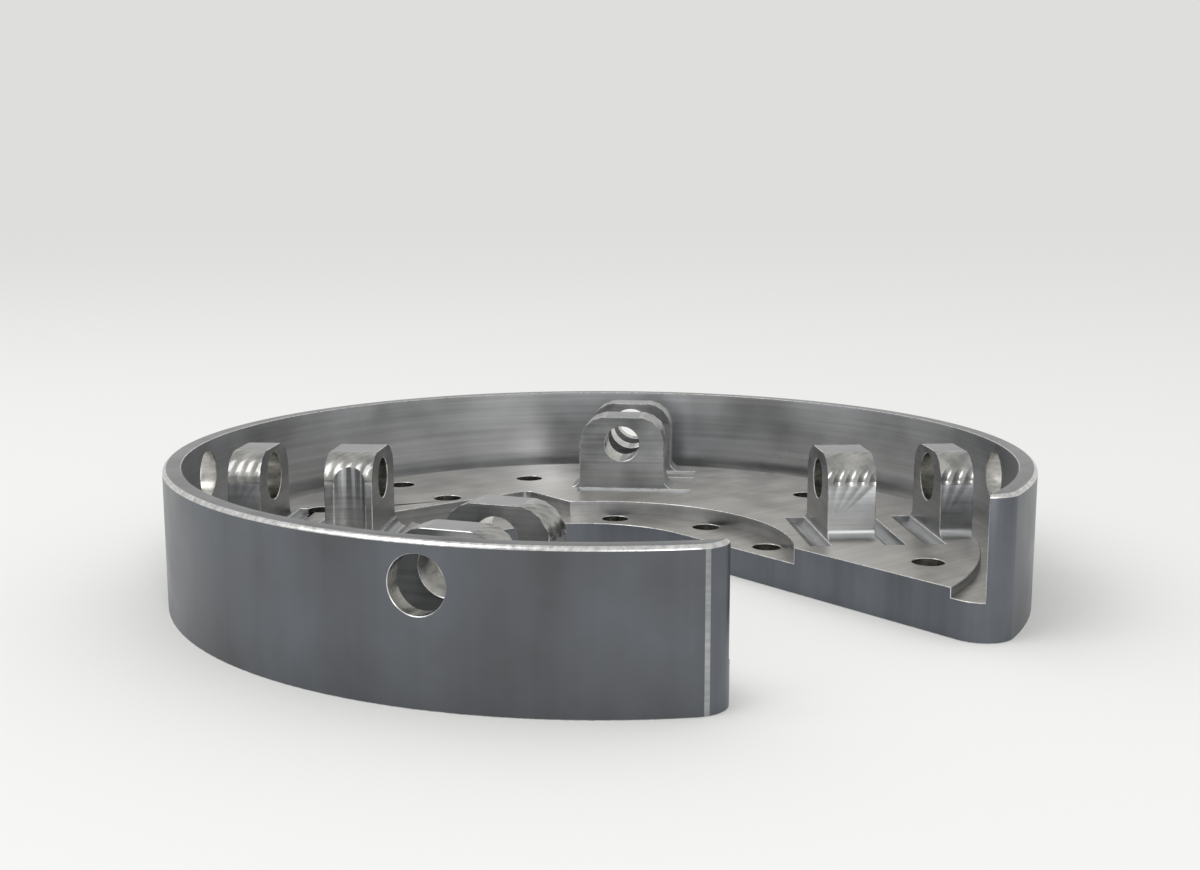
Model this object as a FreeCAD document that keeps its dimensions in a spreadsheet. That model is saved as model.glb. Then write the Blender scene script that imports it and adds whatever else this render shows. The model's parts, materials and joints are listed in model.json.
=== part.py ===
import FreeCAD, Part
import math
import os

import Sketcher
from FreeCAD import Placement, Rotation, Vector

# A shallow round housing, milled from one aluminium plate: a thin rim round a
# tray floor, open on one side to a slot that runs in past the middle, with
# four pairs of lugs on the floor that share a cross-drilled bore with the rim.
# +Z is up, the origin is the centre of the turned outside at the underside,
# and the slot opens towards -Y.

doc = FreeCAD.newDocument("RingHousing")

# ---------------------------------------------------------------- dimensions
# Lengths in millimetres, angles in degrees anticlockwise from +X.
DIMENSIONS = {
    "outer_radius": 125.0,        # turned outside of the rim
    "rim_height": 39.0,           # full height, underside to rim top
    "rim_wall": 5.0,
    "rim_edge_break": 0.8,        # bevel round the top outside edge
    "floor_level": 13.5,          # top of the tray floor
    "channel_level": 10.75,       # bottom of the relief channel inside the rim
    "channel_width": 9.25,
    "work_centre_x": -8.75,       # centre line that slot and recess share
    "recess_centre_y": -10.0,
    "slot_width": 77.25,
    "slot_end_y": -2.0,           # centre of the slot's round inner end
    "slot_mouth_round": 9.0,      # rounding of the slot's outer corners
    "recess_ledge": 17.875,       # shelf between the slot's end and the recess wall
    "recess_level": 8.75,
    "pocket_width": 56.0,         # square-ended pocket behind the recess
    "pocket_end_y": 62.5,
    "pocket_corner": 3.0,
    "recess_screw_bore": 8.5,
    "recess_screw_inset": 4.5,    # in from the recess wall
    "recess_screw_first": 45.0,   # degrees, the rearmost recess screw
    "recess_screw_step": 35.0,    # degrees, from each recess screw to the next
    "floor_screw_bore": 9.0,
    "slot_screw_margin": 16.625,  # out from the slot's straight side
    "slot_screw_inset": 34.0,     # every such inset is from the inside of the rim
    "side_screw_inset": 23.75,
    "side_screw_y": -2.0,
    "back_screw_across": 41.25,   # from the slot's centre line
    "back_screw_inset": 40.25,
    "rear_screw_inset": 21.5,
    "pocket_screw_margin": 7.0,   # behind the pocket
    "lug_screw_along": 72.5,      # beside the back left inner lug, along its bore
    "lug_screw_aside": 20.0,     # and sideways from that bore
    "screw_head_room": 14.5,       # clear round that screw's head, into the lug
    "lug_width": 29.0,
    "lug_top_drop": 1.25,         # below the rim top
    "lug_shoulder_round": 8.75,   # rounding of the two top shoulders
    "lug_foot_round": 3.0,        # hollow where a lug's plain sides meet the floor
    "inner_lug_start": 65.75,     # drilled face nearest the middle
    "inner_lug_wall": 14.25,
    "outer_lug_wall": 9.75,
    "outer_lug_inset": 11.0,      # from the inside of the rim to the lug
    "foot_lane_radius": 3.5,      # ball-nosed lane along the foot of a drilled face
    "foot_lane_level": 11.6,      # lowest line of that lane
    "foot_lane_clearance": 0.25,  # kept between the lane's flank and the face
    "foot_lane_runout": 9.0,      # how far the lane runs past the lug on one side
    "bore_drop": 10.25,           # below the rim top
    "rim_bore": 14.25,            # through the rim and the outer lug
    "lug_bore": 12.0,             # through the inner lug
    "bore_angle_right": 325.0,      # degrees
    "bore_angle_back_right": 44.5,  # degrees
    "bore_angle_back_left": 136.0,  # degrees
    "bore_angle_left": 212.0,       # degrees
}
BORES = ("right", "back_right", "back_left", "left")
CLEAR = 5.0    # how far a cutting outline runs past what it cuts

sheet = doc.addObject("Spreadsheet::Sheet", "Sizes")
for row, (alias, value) in enumerate(DIMENSIONS.items(), start=1):
    sheet.set(f"A{row}", alias)
    sheet.set(f"B{row}", str(value))
    sheet.setAlias(f"B{row}", alias)
doc.recompute()


class Dim(float):
    """A number that also carries the sheet expression it comes from."""

    def __new__(cls, value, text=None):
        made = super().__new__(cls, value)
        made.text = text or repr(float(value))
        return made

    def __add__(self, other):
        return Dim(float(self) + float(other), f"({self.text} + {Dim.of(other).text})")

    def __sub__(self, other):
        return Dim(float(self) - float(other), f"({self.text} - {Dim.of(other).text})")

    def __truediv__(self, other):
        return Dim(float(self) / float(other), f"({self.text} / {Dim.of(other).text})")

    def __neg__(self):
        return Dim(-float(self), f"(-{self.text})")

    @staticmethod
    def of(number):
        return number if isinstance(number, Dim) else Dim(number)


def size(alias):
    """A dimension of the sheet."""
    return Dim(getattr(sheet, alias), f"Sizes.{alias}")


body = doc.addObject("PartDesign::Body", "RingHousingBody")
body.Label = "ring_housing"


# ------------------------------------------------------------ sketch helpers
def sketch_on(name, role="XY_Plane", level=None):
    """A sketch on one of the body's own planes, raised to a given level."""
    sketch = body.newObject("Sketcher::SketchObject", name)
    plane = next(f for f in body.Origin.OriginFeatures if f.Role == role)
    sketch.AttachmentSupport = [(plane, "")]
    sketch.MapMode = "FlatFace"
    if level is not None:
        sketch.setExpression("AttachmentOffset.Base.z", level.text)
    return sketch


def sketch_along_bore(name, place):
    """An upright sketch through one bore's axis: across is outwards, up is up."""
    sketch = sketch_on(name, "XZ_Plane")
    sketch.AttachmentOffset = Placement(Vector(), Rotation(Vector(0, 1, 0), 1.0))
    sketch.setExpression("AttachmentOffset.Rotation.Angle", f"Sizes.bore_angle_{place}")
    return sketch


def polar(radius, angle):
    """Across and up parts of a radius at an angle, still tied to the sheet."""
    turn = math.radians(float(angle))
    across = Dim(float(radius) * math.cos(turn), f"({radius.text} * cos({angle.text}))")
    up = Dim(float(radius) * math.sin(turn), f"({radius.text} * sin({angle.text}))")
    return across, up


def sketch_across_bore(name, place, distance):
    """An upright sketch square to one bore's axis: across is to its left."""
    angle = size(f"bore_angle_{place}")
    sketch = sketch_on(name, "YZ_Plane")
    sketch.AttachmentOffset = Placement(Vector(), Rotation(Vector(0, 1, 0), 1.0))
    sketch.setExpression("AttachmentOffset.Rotation.Angle", angle.text)
    outward, aside = polar(distance, angle)
    sketch.setExpression("AttachmentOffset.Base.z", outward.text)
    sketch.setExpression("AttachmentOffset.Base.x", aside.text)
    return sketch


def hold(sketch, kind, *references, to=None):
    """Add a constraint; a dimension is tied to the sheet through its Dim."""
    if to is None:
        sketch.addConstraint(Sketcher.Constraint(kind, *references))
        return
    index = sketch.addConstraint(Sketcher.Constraint(kind, *references, float(to)))
    sketch.setExpression(f"Constraints[{index}]", to.text)


def place_point(sketch, edge, end, across=None, up=None):
    """Tie a point's distances from the sketch's own origin to the sheet."""
    if across is not None:
        hold(sketch, "DistanceX", -1, 1, edge, end, to=across)
    if up is not None:
        hold(sketch, "DistanceY", -1, 1, edge, end, to=up)


def add_circle(sketch, radius, across=None, up=None):
    centre = Vector(float(across or 0.0), float(up or 0.0), 0)
    edge = sketch.addGeometry(Part.Circle(centre, Vector(0, 0, 1), float(radius)), False)
    hold(sketch, "Radius", edge, to=radius)
    if across is None:
        hold(sketch, "Coincident", edge, 3, -1, 1)
    else:
        place_point(sketch, edge, 3, across, up)


def add_steps(sketch, corners):
    """A closed outline of level and upright sides through the given corners."""
    points = [Vector(float(x), float(y), 0) for x, y in corners]
    turns = zip(points, points[1:] + points[:1])
    sides = [sketch.addGeometry(Part.LineSegment(a, b), False) for a, b in turns]
    seen = set()
    for this, following in zip(sides, sides[1:] + sides[:1]):
        hold(sketch, "Coincident", this, 2, following, 1)
    for side, (x, y), (far_x, far_y) in zip(sides, corners, corners[1:] + corners[:1]):
        upright = x.text == far_x.text
        hold(sketch, "Vertical" if upright else "Horizontal", side)
        if upright and x.text not in seen:
            place_point(sketch, side, 1, across=x)
            seen.add(x.text)
        if not upright and y.text not in seen:
            place_point(sketch, side, 1, up=y)
            seen.add(y.text)


# ----------------------------------------------------------- feature helpers
def pad(name, sketch, length, midplane=False):
    feature = body.newObject("PartDesign::Pad", name)
    feature.Profile = sketch
    feature.Midplane = midplane
    feature.setExpression("Length", length.text)
    doc.recompute()
    return feature


def cut(name, sketch, upwards=True, through=True):
    """Take away all that lies above a sketch, and check that some was there."""
    before = body.Shape.Volume
    feature = body.newObject("PartDesign::Pocket", name)
    feature.Profile = sketch
    feature.Type = "ThroughAll"
    feature.Reversed = upwards
    doc.recompute()
    if not body.Shape.Volume < before:
        raise RuntimeError(f"{name} cuts nothing")
    return feature


def dress(kind, name, edges, amount):
    """A Fillet or Chamfer on the edges that a test picks out."""
    base = body.Tip
    picked = [f"Edge{n}" for n, edge in enumerate(base.Shape.Edges, start=1) if edges(edge)]
    feature = body.newObject(f"PartDesign::{kind}", name)
    feature.Base = (base, picked)
    feature.setExpression("Radius" if kind == "Fillet" else "Size", amount.text)
    doc.recompute()
    return feature


def runs_along(edge, direction):
    """True for a straight edge parallel to a direction."""
    if not isinstance(edge.Curve, Part.Line):
        return False
    return abs(edge.Curve.Direction.dot(direction)) > 1.0 - 1e-6


def near(value, target):
    return abs(value - float(target)) < 1e-3


# --------------------------------------------------- turned blank and its slot
zero = Dim(0.0, "0")
outer_radius = size("outer_radius")
rim_inside = outer_radius - size("rim_wall")
floor_level = size("floor_level")
centre_x = size("work_centre_x")
half_slot = size("slot_width") / 2
lug_top = size("rim_height") - size("lug_top_drop")
bore_level = size("rim_height") - size("bore_drop")

sketch = sketch_on("BlankSketch")
add_circle(sketch, outer_radius)
pad("Blank", sketch, size("rim_height"))


def slot_outline():
    """A straight slot with a round inner end."""
    sketch = sketch_on("SlotSketch")
    end_y = size("slot_end_y")
    mouth_y = -outer_radius - CLEAR
    left, right = float(centre_x - half_slot), float(centre_x + half_slot)
    centre = Vector(float(centre_x), float(end_y), 0)
    circle = Part.Circle(centre, Vector(0, 0, 1), float(half_slot))
    corners = [Vector(left, float(mouth_y), 0), Vector(left, float(end_y), 0),
               Vector(right, float(end_y), 0), Vector(right, float(mouth_y), 0)]
    left_side = sketch.addGeometry(Part.LineSegment(corners[0], corners[1]), False)
    right_side = sketch.addGeometry(Part.LineSegment(corners[2], corners[3]), False)
    mouth = sketch.addGeometry(Part.LineSegment(corners[3], corners[0]), False)
    end = sketch.addGeometry(Part.ArcOfCircle(circle, 0.0, math.pi), False)
    hold(sketch, "Tangent", right_side, 1, end, 1)
    hold(sketch, "Tangent", left_side, 2, end, 2)
    hold(sketch, "Coincident", right_side, 2, mouth, 1)
    hold(sketch, "Coincident", mouth, 2, left_side, 1)
    hold(sketch, "Vertical", left_side)
    hold(sketch, "Horizontal", mouth)
    hold(sketch, "Radius", end, to=half_slot)
    place_point(sketch, end, 3, centre_x, end_y)
    place_point(sketch, mouth, 1, up=mouth_y)
    return sketch


cut("Slot", slot_outline())
dress("Fillet", "SlotMouthRounds",
      lambda edge: runs_along(edge, Vector(0, 0, 1)) and edge.CenterOfMass.y < -float(half_slot),
      size("slot_mouth_round"))

# --------------------------------------------------------------- tray and lugs
sketch = sketch_on("TraySketch", level=floor_level)
add_circle(sketch, rim_inside)
cut("Tray", sketch)


inner_lug = (size("inner_lug_start"), size("inner_lug_start") + size("inner_lug_wall"))
outer_lug_end = rim_inside - size("outer_lug_inset")
outer_lug = (outer_lug_end - size("outer_lug_wall"), outer_lug_end)
LUGS = {"Inner": inner_lug, "Outer": outer_lug}


def label_of(place):
    return place.title().replace("_", "")


def add_lugs(place):
    """Both lugs of one bore, as upright blocks that stand on the tray floor."""
    sketch = sketch_along_bore(f"{label_of(place)}LugSketch", place)
    for near_face, far_face in LUGS.values():
        add_steps(sketch, [(near_face, floor_level), (far_face, floor_level),
                           (far_face, lug_top), (near_face, lug_top)])
    pad(f"{label_of(place)}Lugs", sketch, size("lug_width"), midplane=True)


for place in BORES:
    add_lugs(place)


def bore_direction(place):
    angle = math.radians(size(f"bore_angle_{place}"))
    return Vector(math.cos(angle), math.sin(angle), 0)


def is_lug_shoulder(edge):
    along_bore = any(runs_along(edge, bore_direction(place)) for place in BORES)
    return along_bore and near(edge.CenterOfMass.z, lug_top)


dress("Fillet", "LugShoulders", is_lug_shoulder, size("lug_shoulder_round"))


def add_foot(place, lug):
    """The hollow rounds on both sides of a lug's foot, as a slab it stands in."""
    near_face, far_face = LUGS[lug]
    round_off = size("lug_foot_round")
    half_width = size("lug_width") / 2
    name = f"{label_of(place)}{lug}Foot"
    sketch = sketch_across_bore(f"{name}Sketch", place, near_face)
    reach, inner = float(half_width + round_off), float(half_width)
    low, high = float(floor_level), float(floor_level + round_off)
    bottom = sketch.addGeometry(Part.LineSegment(Vector(-reach, low, 0), Vector(reach, low, 0)), False)
    top = sketch.addGeometry(Part.LineSegment(Vector(inner, high, 0), Vector(-inner, high, 0)), False)
    hollows = []
    for side, start in ((1, math.pi), (-1, 1.5 * math.pi)):
        circle = Part.Circle(Vector(side * reach, high, 0), Vector(0, 0, 1), float(round_off))
        hollows.append(sketch.addGeometry(Part.ArcOfCircle(circle, start, start + math.pi / 2), False))
    left, right = hollows
    hold(sketch, "Horizontal", bottom)
    hold(sketch, "Horizontal", top)
    hold(sketch, "Tangent", bottom, 2, left, 2)
    hold(sketch, "Tangent", bottom, 1, right, 1)
    hold(sketch, "Coincident", top, 1, left, 1)
    hold(sketch, "Coincident", top, 2, right, 2)
    place_point(sketch, bottom, 1, up=floor_level)
    place_point(sketch, top, 1, up=floor_level + round_off)
    for hollow, across in ((left, half_width + round_off), (right, -(half_width + round_off))):
        hold(sketch, "Radius", hollow, to=round_off)
        place_point(sketch, hollow, 3, across=across)
    pad(name, sketch, far_face - near_face)


for place in BORES:
    for lug in LUGS:
        add_foot(place, lug)


def cut_foot_lanes(place, lug):
    """Round-bottomed lanes that undercut the floor along a lug's drilled faces."""
    name = f"{label_of(place)}{lug}Lanes"
    near_face, far_face = LUGS[lug]
    radius = size("foot_lane_radius")
    level = size("foot_lane_level") + radius
    sketch = sketch_along_bore(f"{name}Sketch", place)
    offset = radius + size("foot_lane_clearance")
    add_circle(sketch, radius, near_face - offset, level)
    add_circle(sketch, radius, far_face + offset, level)
    before = body.Shape.Volume
    lane = body.newObject("PartDesign::Pocket", name)
    lane.Profile = sketch
    lane.SideType = "Two sides"
    half_width = size("lug_width") / 2
    lane.setExpression("Length", half_width.text)
    lane.setExpression("Length2", (half_width + size("foot_lane_runout")).text)
    doc.recompute()
    if not body.Shape.Volume < before:
        raise RuntimeError(f"{name} cuts nothing")


for place in BORES:
    for lug in LUGS:
        cut_foot_lanes(place, lug)

# ------------------------------------------------- channel, recess and pocket
sketch = sketch_on("ChannelSketch", level=size("channel_level"))
add_circle(sketch, rim_inside)
add_circle(sketch, rim_inside - size("channel_width"))
cut("Channel", sketch)

sketch = sketch_on("RecessSketch", level=size("recess_level"))
recess_radius = half_slot + size("recess_ledge")
add_circle(sketch, recess_radius, centre_x, size("recess_centre_y"))
cut("Recess", sketch)

half_pocket = size("pocket_width") / 2
pocket_left = centre_x - half_pocket
pocket_right = centre_x + half_pocket
pocket_end = size("pocket_end_y")
sketch = sketch_on("PocketSketch", level=size("recess_level"))
add_steps(sketch, [(pocket_left, zero), (pocket_right, zero),
                   (pocket_right, pocket_end), (pocket_left, pocket_end)])
cut("BackPocket", sketch)
dress("Fillet", "PocketCorners",
      lambda edge: runs_along(edge, Vector(0, 0, 1)) and near(edge.CenterOfMass.y, pocket_end),
      size("pocket_corner"))


# --------------------------------------------------------------------- bores
def drill_along(place):
    """A stepped bore, wide through rim and outer lug, close in the inner lug."""
    inner_start = inner_lug[0] - CLEAR
    step = inner_lug[1] + CLEAR
    beyond = outer_radius + CLEAR
    level = bore_level
    narrow = level + size("lug_bore") / 2
    wide = level + size("rim_bore") / 2
    sketch = sketch_along_bore(f"{label_of(place)}BoreSketch", place)
    add_steps(sketch, [(inner_start, level), (beyond, level), (beyond, wide),
                       (step, wide), (step, narrow), (inner_start, narrow)])
    ends = [Vector(float(x), float(level), 0) for x in (inner_start, beyond)]
    axis = sketch.addGeometry(Part.LineSegment(*ends), True)
    hold(sketch, "Horizontal", axis)
    place_point(sketch, axis, 1, inner_start, level)
    place_point(sketch, axis, 2, across=beyond)
    groove = body.newObject("PartDesign::Groove", f"{label_of(place)}Bore")
    groove.Profile = sketch
    groove.ReferenceAxis = (sketch, ["Axis0"])
    groove.Angle = 360.0
    doc.recompute()


for place in BORES:
    drill_along(place)


# --------------------------------------------------------------- screw holes
def mirrored_holes(sketch, bore, across, y):
    """A hole on each side of the slot's centre line."""
    for side in (centre_x + across, centre_x - across):
        add_circle(sketch, bore / 2, side, y)


def beside_bore(place, along, aside):
    """A point at a distance along a bore from the middle, and off to its left."""
    angle = size(f"bore_angle_{place}")
    forward, sideways = polar(along, angle), polar(aside, angle + 90.0)
    return forward[0] + sideways[0], forward[1] + sideways[1]


lug_screw = beside_bore("back_left", size("lug_screw_along"), size("lug_screw_aside"))
sketch = sketch_on("FloorScrewSketch")
floor_bore = size("floor_screw_bore")
mirrored_holes(sketch, floor_bore, half_slot + size("slot_screw_margin"),
               size("slot_screw_inset") - rim_inside)
mirrored_holes(sketch, floor_bore, rim_inside - size("side_screw_inset"), size("side_screw_y"))
mirrored_holes(sketch, floor_bore, size("back_screw_across"), rim_inside - size("back_screw_inset"))
add_circle(sketch, floor_bore / 2, centre_x, rim_inside - size("rear_screw_inset"))
add_circle(sketch, floor_bore / 2, centre_x, pocket_end + size("pocket_screw_margin"))
add_circle(sketch, floor_bore / 2, *lug_screw)
cut("FloorScrewHoles", sketch)

sketch = sketch_on("HeadRoomSketch", level=floor_level)
add_circle(sketch, size("screw_head_room") / 2, *lug_screw)
cut("ScrewHeadRoom", sketch)

sketch = sketch_on("RecessScrewSketch")
screw_circle = recess_radius - size("recess_screw_inset")
angle = size("recess_screw_first")
for _ in range(3):
    across, up = polar(screw_circle, angle)
    mirrored_holes(sketch, size("recess_screw_bore"), across, size("recess_centre_y") + up)
    angle = angle - size("recess_screw_step")
cut("RecessScrewHoles", sketch)


# ---------------------------------------------------------------- edge break
def is_rim_top_edge(edge):
    if not isinstance(edge.Curve, Part.Circle):
        return False
    return near(edge.Curve.Radius, outer_radius) and near(edge.CenterOfMass.z, size("rim_height"))


dress("Chamfer", "RimEdgeBreak", is_rim_top_edge, size("rim_edge_break"))

# -------------------------------------------------------------------- output
for item in doc.Objects:
    if "Invalid" in item.State or "Error" in item.State:
        raise RuntimeError(f"{item.Name} failed: {item.State}")
shape = body.Shape
if shape.isNull() or not shape.isValid() or len(shape.Solids) != 1:
    raise RuntimeError("the housing is not one valid solid")

os.makedirs("parts", exist_ok=True)
shape.exportStep(f"parts/{body.Label}.step")
print(f"{body.Label}: {shape.Volume / 1000:.1f} cm3, box {shape.BoundBox}")
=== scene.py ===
import json
import math

import bmesh
import bpy
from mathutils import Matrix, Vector


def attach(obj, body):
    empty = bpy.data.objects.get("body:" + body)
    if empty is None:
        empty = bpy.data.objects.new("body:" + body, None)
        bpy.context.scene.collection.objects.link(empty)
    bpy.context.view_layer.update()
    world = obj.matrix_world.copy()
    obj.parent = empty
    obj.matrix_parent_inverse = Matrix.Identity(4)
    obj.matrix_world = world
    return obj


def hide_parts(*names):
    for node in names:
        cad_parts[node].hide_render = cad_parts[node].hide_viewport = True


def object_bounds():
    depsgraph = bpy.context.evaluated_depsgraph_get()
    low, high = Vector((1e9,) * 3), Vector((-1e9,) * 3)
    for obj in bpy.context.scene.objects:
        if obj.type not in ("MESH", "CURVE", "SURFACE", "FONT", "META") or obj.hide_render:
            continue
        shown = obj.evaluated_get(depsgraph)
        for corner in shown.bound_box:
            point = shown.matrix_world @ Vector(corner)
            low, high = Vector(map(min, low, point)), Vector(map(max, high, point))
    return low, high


# A round tray housing milled from one billet of aluminium. The solid model gives
# every form and place; this script gives it its cutter marks, its broken edges
# and its finishes, and stands it in a plain pale studio.

MM = 0.001

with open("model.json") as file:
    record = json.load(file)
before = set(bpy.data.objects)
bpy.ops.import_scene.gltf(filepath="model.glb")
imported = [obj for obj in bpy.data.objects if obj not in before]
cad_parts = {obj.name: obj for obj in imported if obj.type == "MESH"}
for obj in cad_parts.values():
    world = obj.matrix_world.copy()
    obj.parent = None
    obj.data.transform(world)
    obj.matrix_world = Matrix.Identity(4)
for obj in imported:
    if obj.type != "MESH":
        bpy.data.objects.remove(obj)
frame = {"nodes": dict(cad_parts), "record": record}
cad_low, cad_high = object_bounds()
mounts = {mount["name"]: mount for mount in frame["record"]["mounts"]}

# ------------------------------------------------------------ sizes of the part
RIM_RADIUS = mounts["rim_outside"]["dims"]["r_mm"] * MM
RIM_TOP = cad_high.z
RIM_WALL = 5.0 * MM
RIM_INSIDE = RIM_RADIUS - RIM_WALL
CHANNEL_WIDTH = 9.25 * MM       # of the channel turned at the foot of the rim
CHANNEL_INSIDE = RIM_INSIDE - CHANNEL_WIDTH
FLOOR = 13.5 * MM               # height of the tray's floor
SLOT_MIDDLE = -8.75 * MM
SLOT_HALF = 38.625 * MM
SLOT_END = Vector((SLOT_MIDDLE, -2.0 * MM, 0.0))
RECESS_CENTRE = Vector((SLOT_MIDDLE, -10.0 * MM, 0.0))
RECESS_RADIUS = 56.5 * MM
LUGS_BELOW_RIM = 1.25 * MM
LUG_TOP = RIM_TOP - LUGS_BELOW_RIM
LUG_HALF_WIDTH = 14.5 * MM
SHOULDER_RADIUS = 8.75 * MM     # of a lug's rounded shoulders
INNER_LUG = (65.75 * MM, 80.0 * MM)     # its two ends along its bore
OUTER_LUG = (99.25 * MM, 109.0 * MM)
PLACES = ("right", "back_right", "back_left", "left")
UP = Vector((0.0, 0.0, 1.0))
MOUTH_START = -90.0 * MM        # the slot's mouth lies beyond this along y
MOUTH_FROM_AXIS = 100.0 * MM    # and farther than this from the disc's axis
MOUTH_REACH = 11.0 * MM         # how far past the slot's sides still counts as its mouth
BORE_REACH = 7.3 * MM           # a little over the widest level bore's radius
BORE_START = 50.0 * MM          # all level bores begin beyond this

# ------------------------------------------------------------ telling faces apart
MERGE_DISTANCE = 1e-6           # corners nearer than this are one
CUT_SLACK = 1e-7                # corners this near a cutting plane lie on it
TOUCH = 0.1 * MM                # nearer than this counts as lying on a surface
ANGLE_TOUCH = 0.01              # the same for an angle round a shoulder, in radians
FLAT_TURN = math.radians(0.3)   # less than this between two facets is one flat
SHARP_TURN = math.radians(30.0)
LEVEL = 0.99                    # least upright part of a level face's normal
UPRIGHT = 0.1                   # most that a wall's normal has along the wall's own line
AROUND_BORE = 0.2               # the same in a bore or a screw hole, along its axis
FACING_AXIS = 0.98              # least that a round wall's normal has towards its axis

# ------------------------------------------------------------ cutter marks
PASS_PITCH = 2.03 * MM          # between passes of the ball-nosed cutter
PASS_START = -52.37 * MM        # where one crest between two passes lies
CUTTER_RADIUS = 3.0 * MM        # of the ball at the cutter's end
CREST_HEIGHT = PASS_PITCH ** 2 / (8.0 * CUTTER_RADIUS)
LEAN_LIMIT = 0.3                # stops the valleys growing too deep where a round leans along y
CUTS_PER_PASS = 4
SHOULDER_CUTS = 12
TOP_FADE = math.radians(15.0)   # the passes come in over this, from the flat top
SIDE_FADE = math.radians(6.0)   # and go out over this, to the upright side
ON_CREST = 0.99                 # least pass_place of a corner that lies on a crest
EDGE_BREAK = 0.18 * MM          # set back on each side of a deburred edge

# The finishes, in the order of the housing's material slots.
FINISHES = ("milled_flat", "deburred_edge", "turned_outside", "turned_inside", "milled_floor",
            "slot_flank", "bored_hole", "ball_milled_round", "turned_rim_top")


def bore_axis(place):
    """Outward direction of a place's bore, and the direction to its left."""
    outward = Vector(mounts[f"{place}_inner_bore"]["axis"])
    return outward, Vector((-outward.y, outward.x, 0.0))


def merged_mesh(node):
    """A CAD node's faces with its loose triangles joined into whole flats."""
    work = bmesh.new()
    work.from_mesh(frame["nodes"][node].data)
    bmesh.ops.remove_doubles(work, verts=work.verts, dist=MERGE_DISTANCE)
    bmesh.ops.dissolve_limit(work, angle_limit=FLAT_TURN, verts=work.verts, edges=work.edges)
    return work


def slice_faces(work, faces, point, normal):
    """Cut the given faces along a plane; returns the faces that now cover them."""
    geometry = set(faces)
    for face in faces:
        geometry.update(face.edges)
        geometry.update(face.verts)
    cut = bmesh.ops.bisect_plane(work, geom=list(geometry), plane_co=point, plane_no=normal,
                                 dist=CUT_SLACK)
    return [item for item in cut["geom"] if isinstance(item, bmesh.types.BMFace)]


class Shoulder:
    """One rounded shoulder of a lug, in its own directions."""

    def __init__(self, place, lug, side):
        self.outward, left = bore_axis(place)
        self.aside = left * side
        self.lug = lug
        self.centre = self.aside * (LUG_HALF_WIDTH - SHOULDER_RADIUS) + UP * (LUG_TOP - SHOULDER_RADIUS)

    def local(self, point):
        """Distance along the bore, angle down from the top, and distance from the round's line."""
        offset = point - self.centre
        across, up = offset.dot(self.aside), offset.z
        return offset.dot(self.outward), math.atan2(across, up), math.hypot(across, up)

    def holds(self, face):
        """Whether a face is part of this round."""
        if abs(face.normal.dot(self.outward)) > UPRIGHT:
            return False
        for vert in face.verts:
            along, angle, radius = self.local(vert.co)
            if abs(radius - SHOULDER_RADIUS) > TOUCH:
                return False
            if not -ANGLE_TOUCH < angle < math.pi / 2 + ANGLE_TOUCH:
                return False
            if not self.lug[0] - TOUCH < along < self.lug[1] + TOUCH:
                return False
        return True

    def direction(self, angle):
        """The way out from the round's line, at an angle down from the top."""
        return UP * math.cos(angle) + self.aside * math.sin(angle)


def pass_place(y):
    """How far a point is from the middle of its pass: 0 there, 1 on the crests."""
    return abs(((y - PASS_START) / PASS_PITCH) % 1.0 - 0.5) * 2.0


def mill_shoulder(work, shoulder):
    """Leave the ball-nosed cutter's passes, with crests between them, on a shoulder."""
    faces = [face for face in work.faces if shoulder.holds(face)]
    for step in range(1, SHOULDER_CUTS):
        angle = math.pi / 2 * step / SHOULDER_CUTS
        faces = slice_faces(work, faces, shoulder.centre, shoulder.direction(angle + math.pi / 2))
    ys = [vert.co.y for face in faces for vert in face.verts]
    spacing = PASS_PITCH / CUTS_PER_PASS
    first = math.ceil((min(ys) - PASS_START) / spacing)
    last = math.floor((max(ys) - PASS_START) / spacing)
    for count in range(first, last + 1):
        point = Vector((0.0, PASS_START + count * spacing, 0.0))
        faces = slice_faces(work, faces, point, Vector((0.0, 1.0, 0.0)))
    for vert in {vert for face in faces for vert in face.verts}:
        along, angle, _ = shoulder.local(vert.co)
        lean = shoulder.aside.y * math.sin(angle)
        fade = min(1.0, angle / TOP_FADE, (math.pi / 2 - angle) / SIDE_FADE)
        height = CREST_HEIGHT / max(LEAN_LIMIT, 1.0 - lean * lean)
        depth = max(0.0, fade) * height * (1.0 - pass_place(vert.co.y) ** 2)
        on_line = shoulder.centre + shoulder.outward * along
        vert.co = on_line + shoulder.direction(angle) * (SHOULDER_RADIUS - depth)
    for edge in {edge for face in faces for edge in face.edges}:
        if min(pass_place(vert.co.y) for vert in edge.verts) > ON_CREST:
            edge.smooth = False
    return faces


def break_edges(work, shoulders):
    """Deburr the outward edges, but leave the shoulders' ends as the cutter left them."""
    milled = {face for face in work.faces if any(shoulder.holds(face) for shoulder in shoulders)}
    edges = []
    for edge in work.edges:
        sharp = edge.is_convex and edge.calc_face_angle() > SHARP_TURN
        if sharp and not milled.intersection(edge.link_faces):
            edges.append(edge)
    # The bevel's faces take the deburred_edge finish, whose near-white tone is partly a painted highlight.
    bmesh.ops.bevel(work, geom=edges, offset=EDGE_BREAK, offset_type="OFFSET", affect="EDGES",
                    segments=1, profile=0.5, material=FINISHES.index("deburred_edge"), clamp_overlap=False)


# ------------------------------------------------------------ which finish a face has
CENTRE = Vector((0.0, 0.0, 0.0))
# The turned outside, the turned inside and the slot's sides take finishes whose tones are partly painted
# light and shade.
WALLS = (
    (CENTRE, RIM_RADIUS, "turned_outside"),
    (CENTRE, RIM_INSIDE, "turned_inside"),
    (CENTRE, CHANNEL_INSIDE, "milled_flat"),
    (RECESS_CENTRE, RECESS_RADIUS, "milled_flat"),
    (SLOT_END, SLOT_HALF, "slot_flank"),
)


def from_upright_line(point, centre):
    """How far a point is from the upright line through a centre."""
    return math.hypot(point.x - centre.x, point.y - centre.y)


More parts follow.
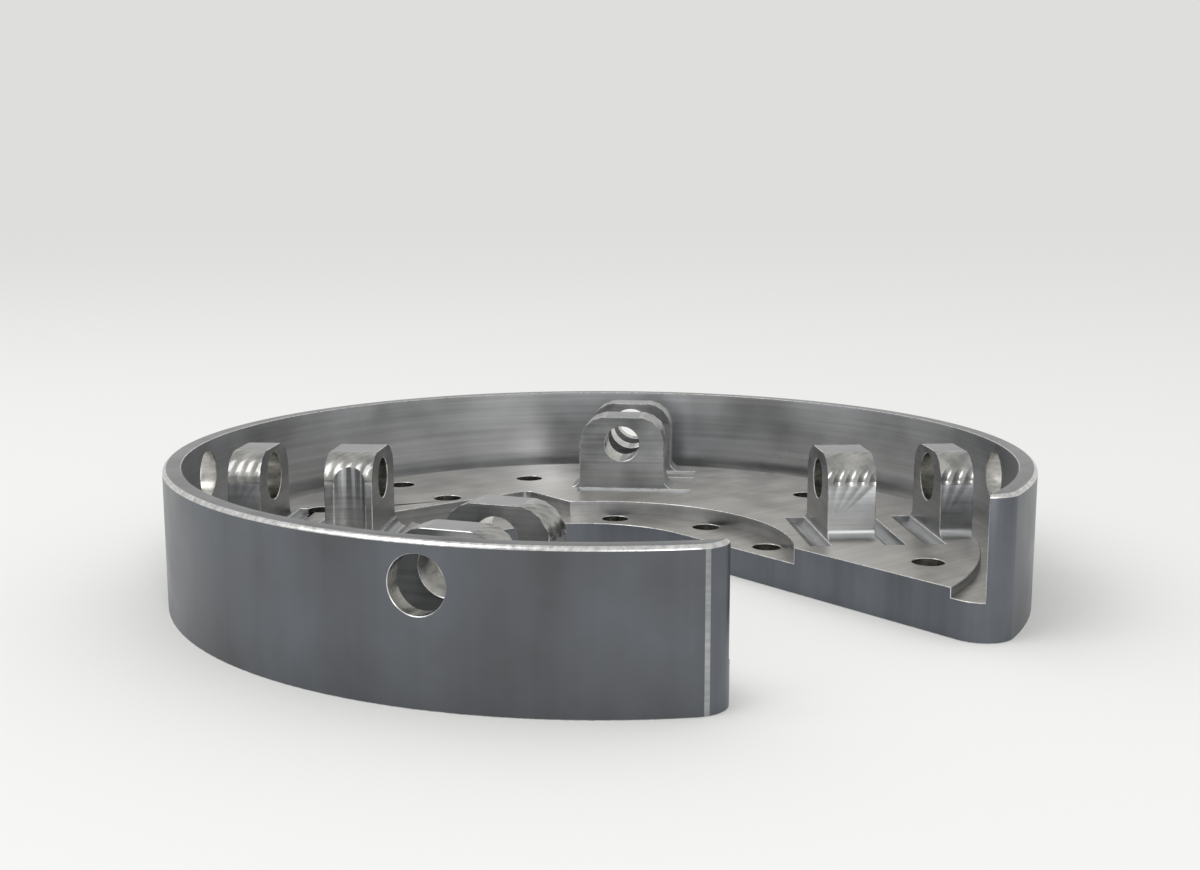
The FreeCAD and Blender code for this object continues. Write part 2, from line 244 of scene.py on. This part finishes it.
def wall_under(points, normal):
    """The entry in WALLS that a face is part of, or None."""
    if abs(normal.z) > UPRIGHT:
        return None
    for wall in WALLS:
        centre, radius, _ = wall
        middle = sum(points, Vector()) / len(points) - centre
        middle.z = 0.0
        if abs(normal.dot(middle.normalized())) < FACING_AXIS:
            continue
        if all(abs(from_upright_line(point, centre) - radius) < TOUCH for point in points):
            return wall
    return None


def in_a_bore(points, normal):
    """Whether a face lies in one of the level bores."""
    for place in PLACES:
        outward, left = bore_axis(place)
        if abs(normal.dot(outward)) > AROUND_BORE:
            continue
        level = mounts[f"{place}_inner_bore"]["pos_m"][2]
        reach = [math.hypot(point.dot(left), point.z - level) for point in points]
        if max(reach) < BORE_REACH and min(point.dot(outward) for point in points) > BORE_START:
            return True
    return False


def screw_holes():
    """The centre and radius of every upright screw hole."""
    holes = []
    for mount in mounts.values():
        middle, dims = Vector(mount["pos_m"]), mount["dims"]
        if mount["kind"] == "bolt_pattern":
            spacing = Vector((dims.get("spacing_x_mm", 0.0), dims.get("spacing_y_mm", 0.0), 0.0))
            step = spacing * MM / 2
            holes += [(middle - step, dims["hole_r_mm"] * MM), (middle + step, dims["hole_r_mm"] * MM)]
        elif mount["name"] == "lug_screw":
            holes.append((middle, dims["r_mm"] * MM))
    return holes


SCREW_HOLES = screw_holes()


def in_a_screw_hole(points, normal):
    """Whether a face lies in the wall of an upright screw hole."""
    if abs(normal.z) > AROUND_BORE or max(point.z for point in points) > FLOOR + TOUCH:
        return False
    for centre, radius in SCREW_HOLES:
        if all(from_upright_line(point, centre) < radius + TOUCH for point in points):
            return True
    return False


def level_finish(lowest):
    """The finish of a level face that looks up, from its height."""
    if lowest > LUG_TOP + TOUCH:
        return "turned_rim_top"
    return "milled_flat" if lowest > FLOOR + TOUCH else "milled_floor"


def finish_of(points, normal):
    """The name of the finish that a face has, from where it lies."""
    wall = wall_under(points, normal)
    if wall:
        return wall[2]
    lowest = min(point.z for point in points)
    if normal.z > LEVEL:
        return level_finish(lowest)
    if normal.z < -LEVEL:
        return "milled_floor"
    if in_a_bore(points, normal) or in_a_screw_hole(points, normal):
        return "bored_hole"
    middle = sum(points, Vector()) / len(points)
    from_axis = math.hypot(middle.x, middle.y)
    if from_axis > RIM_INSIDE and lowest > LUG_TOP:
        return "deburred_edge"
    # The slot's sides and the rounding of its mouth take the slot_flank finish, whose dark tone is painted
    # shade.
    aside = abs(middle.x - SLOT_MIDDLE)
    in_slot = aside < SLOT_HALF + TOUCH and middle.y < SLOT_END.y
    in_mouth = aside < SLOT_HALF + MOUTH_REACH and middle.y < MOUTH_START and from_axis > MOUTH_FROM_AXIS
    return "slot_flank" if abs(normal.z) < UPRIGHT and (in_slot or in_mouth) else "milled_flat"


# ------------------------------------------------------------ the housing
work = merged_mesh("ring_housing")
shoulders = [Shoulder(place, lug, side)
             for place in PLACES for lug in (INNER_LUG, OUTER_LUG) for side in (1.0, -1.0)]
break_edges(work, shoulders)
round_faces = [mill_shoulder(work, shoulder) for shoulder in shoulders]
work.normal_update()
for face in work.faces:
    face.smooth = True
    if face.material_index == 0:
        points = [vert.co for vert in face.verts]
        face.material_index = FINISHES.index(finish_of(points, face.normal))
for faces in round_faces:
    for face in faces:
        face.material_index = FINISHES.index("ball_milled_round")
for edge in work.edges:
    if edge.calc_face_angle(math.pi) > SHARP_TURN:
        edge.smooth = False

housing_mesh = bpy.data.meshes.new("housing")
work.to_mesh(housing_mesh)
work.free()


def true_round_normals(mesh):
    """Shade the long round walls as true cylinders, and leave the rest as it is."""
    normals = [Vector()] * len(mesh.loops)
    for face in mesh.polygons:
        points = [mesh.vertices[index].co for index in face.vertices]
        wall = wall_under(points, face.normal)
        if wall:
            for loop, point in zip(face.loop_indices, points):
                away = Vector((point.x - wall[0].x, point.y - wall[0].y, 0.0)).normalized()
                normals[loop] = away if away.dot(face.normal) > 0.0 else -away
    mesh.normals_split_custom_set(normals)


true_round_normals(housing_mesh)
housing = bpy.data.objects.new("housing", housing_mesh)
bpy.context.scene.collection.objects.link(housing)
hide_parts("ring_housing")
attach(housing, "root")


# ------------------------------------------------------------ materials
def linear(code):
    """A #rrggbb colour as linear RGBA."""
    channels = [int(code[i:i + 2], 16) / 255 for i in (1, 3, 5)]
    return [c / 12.92 if c <= 0.04045 else ((c + 0.055) / 1.055) ** 2.4 for c in channels] + [1.0]


def add_node(owner, kind, settings=None, **links):
    """One node of a material or world, with its settings made and its inputs linked."""
    tree = owner.node_tree
    node = tree.nodes.new(f"ShaderNode{kind}")
    for key, value in (settings or {}).items():
        if key in node.inputs:
            node.inputs[key].default_value = value
        else:
            setattr(node, key, value)
    for key, socket in links.items():
        tree.links.new(socket, node.inputs[key])
    return node


def new_material(name):
    """A material and its shader."""
    material = bpy.data.materials.new(name)
    material.use_nodes = True
    return material, material.node_tree.nodes["Principled BSDF"]


CLOUD_SHARE = 0.45              # of a tone's drift that the clouds make, the streaks make the rest
TONE_SPREAD = (0.35, 0.65)      # noise values that have the darker and the lighter tone
CLOUD_SPREAD = (0.3, 0.7)       # noise values that have the least and the most roughness
SMOOTHER = 0.06                 # how far roughness drifts down
DULLER = 0.08                   # and up


def machined_finish(name, dark, light, roughness, grain, cloud_size, mark_depth):
    """Bare aluminium as one kind of cut leaves it, with sizes in millimetres.

    dark and light are the tones it drifts between, grain is how long its streaks are along
    x, y and z, cloud_size is the size of its duller patches, and mark_depth is how deep its
    tool marks are. Real marks are a few tenths of a millimetre apart, too fine to show, so
    the streaks are drawn 1 mm across or more.
    """
    material, shader = new_material(name)
    shader.inputs["Metallic"].default_value = 1.0
    place = add_node(material, "TexCoord").outputs["Object"]
    streak_scale = [1.0 / (length * MM) for length in grain]
    streak_place = add_node(material, "Mapping", {"Scale": streak_scale}, Vector=place)
    streaks = add_node(material, "TexNoise", {"Scale": 1.0, "Detail": 4.0, "Roughness": 0.6},
                       Vector=streak_place.outputs[0])
    clouds = add_node(material, "TexNoise", {"Scale": 1.0 / (cloud_size * MM), "Detail": 3.0},
                      Vector=place)
    both = add_node(material, "Mix", {"data_type": "FLOAT", "Factor": CLOUD_SHARE},
                    A=streaks.outputs[0], B=clouds.outputs[0])
    tone = add_node(material, "ValToRGB", Fac=both.outputs[0])
    for element, position, colour in zip(tone.color_ramp.elements, TONE_SPREAD, (dark, light)):
        element.position = position
        element.color = linear(colour)
    span = {"From Min": CLOUD_SPREAD[0], "From Max": CLOUD_SPREAD[1],
            "To Min": roughness - SMOOTHER, "To Max": roughness + DULLER}
    gloss = add_node(material, "MapRange", span, Value=clouds.outputs[0])
    marks = add_node(material, "Bump", {"Strength": 1.0, "Distance": mark_depth * MM},
                     Height=streaks.outputs[0])
    links = material.node_tree.links
    links.new(tone.outputs["Color"], shader.inputs["Base Color"])
    links.new(gloss.outputs["Result"], shader.inputs["Roughness"])
    links.new(marks.outputs["Normal"], shader.inputs["Normal"])
    return material


# Bare 6000-series aluminium, cut in several ways. It is metal, so most of its look is what
# it mirrors, blurred by the marks that each cut leaves. The values are machined_finish's own.
# Some tones below also carry painted light and shade, as their notes say.
CUTS = {
    # An end mill's side leaves an even grey satin with fine level lines.
    "milled_flat": ("milled_flat_aluminium", "#8f9092", "#b4b5b6", 0.34, (60, 60, 1.2), 9, 0.004),
    # A scraper leaves a thin burnished line along each outward edge; its near-white tone is partly that
    # bare metal and partly a painted highlight.
    "deburred_edge": ("deburred_aluminium_edge_and_painted_highlight", "#b9babb", "#f2f2f0", 0.28, (2, 2, 2), 1.5, 0.01),
    # The turned outside is a smooth satin. Its dark tone is painted shade, standing in for the dark room
    # that the wall mirrors, and its lighter bluish tone, drifting in upright bands round the wall, is a
    # painted reflection.
    "turned_outside": ("turned_aluminium_painted_shade_and_reflection", "#5c5d60", "#6f7379", 0.36, (25, 25, 400), 22, 0.001),
    # The turned inside is the same turned metal, with level lines that follow the wall round; its brighter
    # bluish tone is painted light.
    "turned_inside": ("turned_aluminium_painted_light", "#b0b1b3", "#d2d4d8", 0.33, (90, 90, 1.5), 25, 0.004),
    # A face mill leaves the floors pale, with fine straight lines along x.
    "milled_floor": ("face_milled_aluminium", "#b3b0ab", "#cfccc7", 0.36, (70, 1.6, 40), 12, 0.003),
    # The slot's sides and mouth are side-milled, with upright streaks from the cutter's teeth; their dark
    # bluish tone is painted shade, standing in for the dark room they mirror.
    "slot_flank": ("side_milled_aluminium_painted_shade", "#62656a", "#757980", 0.36, (9, 9, 200), 14, 0.002),
    # A boring tool leaves the holes glossy and uneven, from grey to bright.
    "bored_hole": ("bored_aluminium", "#a4a39f", "#d8d6d0", 0.22, (4, 4, 1.0), 5, 0.01),
    # A ball-nosed cutter leaves glossy valleys that each mirror the studio on their own.
    "ball_milled_round": ("ball_milled_aluminium", "#8d8d8c", "#bdbcb9", 0.22, (6, 6, 6), 6, 0.003),
    # The faced rim is a plain grey satin ring with faint clouds.
    "turned_rim_top": ("faced_rim_aluminium", "#77777a", "#97989a", 0.34, (20, 20, 20), 8, 0.004),
}
for finish in FINISHES:
    housing.data.materials.append(machined_finish(*CUTS[finish]))

# ------------------------------------------------------------ studio
PAPER_TONE = "#dededc"
PAPER_REACH = 30.0              # in metres, far enough that its edge isn't seen

# Matt paper under the part: a soft shadow and no shine.
paper, shader = new_material("pale_paper")
shader.inputs["Base Color"].default_value = linear(PAPER_TONE)
shader.inputs["Roughness"].default_value = 0.9
shader.inputs["Specular IOR Level"].default_value = 0.0


def add_floor():
    """A wide round sheet of the paper under the part."""
    work = bmesh.new()
    bmesh.ops.create_circle(work, cap_ends=True, segments=96, radius=PAPER_REACH)
    mesh = bpy.data.meshes.new("floor")
    work.to_mesh(mesh)
    work.free()
    mesh.materials.append(paper)
    floor = bpy.data.objects.new("floor", mesh)
    bpy.context.scene.collection.objects.link(floor)


add_floor()


def add_lamp(name, place, target, size, power):
    """A soft rectangular lamp that looks at a point."""
    data = bpy.data.lights.new(name, "AREA")
    data.shape = "RECTANGLE"
    data.size, data.size_y = size
    data.energy = power
    lamp = bpy.data.objects.new(name, data)
    lamp.location = place
    lamp.rotation_euler = (Vector(target) - Vector(place)).to_track_quat("-Z", "Y").to_euler()
    bpy.context.scene.collection.objects.link(lamp)


add_lamp("key", place=(-0.9, 0.2, 1.1), target=(0, 0, 0), size=(0.9, 0.9), power=5)
add_lamp("window", place=(-0.55, -1.3, 0.75), target=(0, 0, 0.02), size=(0.25, 0.7), power=4)

world = bpy.data.worlds.new("studio")
world.use_nodes = True
bpy.context.scene.world = world

# The open studio lights everything evenly, and shows the paper's own tone to the eye and
# to whatever mirrors it, so that the floor has no far edge.
rays = add_node(world, "LightPath")
seen = add_node(world, "Math", {"operation": "MAXIMUM"})
seen_or_passed = add_node(world, "Math", {"operation": "MAXIMUM"})
tone = add_node(world, "Mix", {"data_type": "RGBA"})
links = world.node_tree.links
links.new(rays.outputs["Is Camera Ray"], seen.inputs[0])
links.new(rays.outputs["Is Glossy Ray"], seen.inputs[1])
links.new(seen.outputs[0], seen_or_passed.inputs[0])
links.new(rays.outputs["Is Transmission Ray"], seen_or_passed.inputs[1])
links.new(seen_or_passed.outputs[0], tone.inputs["Factor"])
tone.inputs[6].default_value = linear("#ffffff")      # the mix's first colour
tone.inputs[7].default_value = linear(PAPER_TONE)     # and its second
links.new(tone.outputs[2], world.node_tree.nodes["Background"].inputs["Color"])

# ------------------------------------------------------------ camera
VIEW_AZIMUTH = math.radians(39.05)
VIEW_PITCH = math.radians(9.415)
VIEW_DISTANCE = 3.4937 * RIM_RADIUS
VIEW_HEIGHT = 0.9206 * RIM_RADIUS

camera_data = bpy.data.cameras.new("camera")
camera_data.lens = 44.77
camera_data.sensor_width = 36.0
camera_data.clip_start = 0.01
camera = bpy.data.objects.new("camera", camera_data)
camera.location = (-VIEW_DISTANCE * math.sin(VIEW_AZIMUTH),
                   -VIEW_DISTANCE * math.cos(VIEW_AZIMUTH),
                   VIEW_HEIGHT)
camera.rotation_euler = (math.pi / 2 - VIEW_PITCH, 0.0, -VIEW_AZIMUTH)
bpy.context.scene.collection.objects.link(camera)
bpy.context.scene.camera = camera

bpy.context.scene.view_settings.view_transform = "Standard"
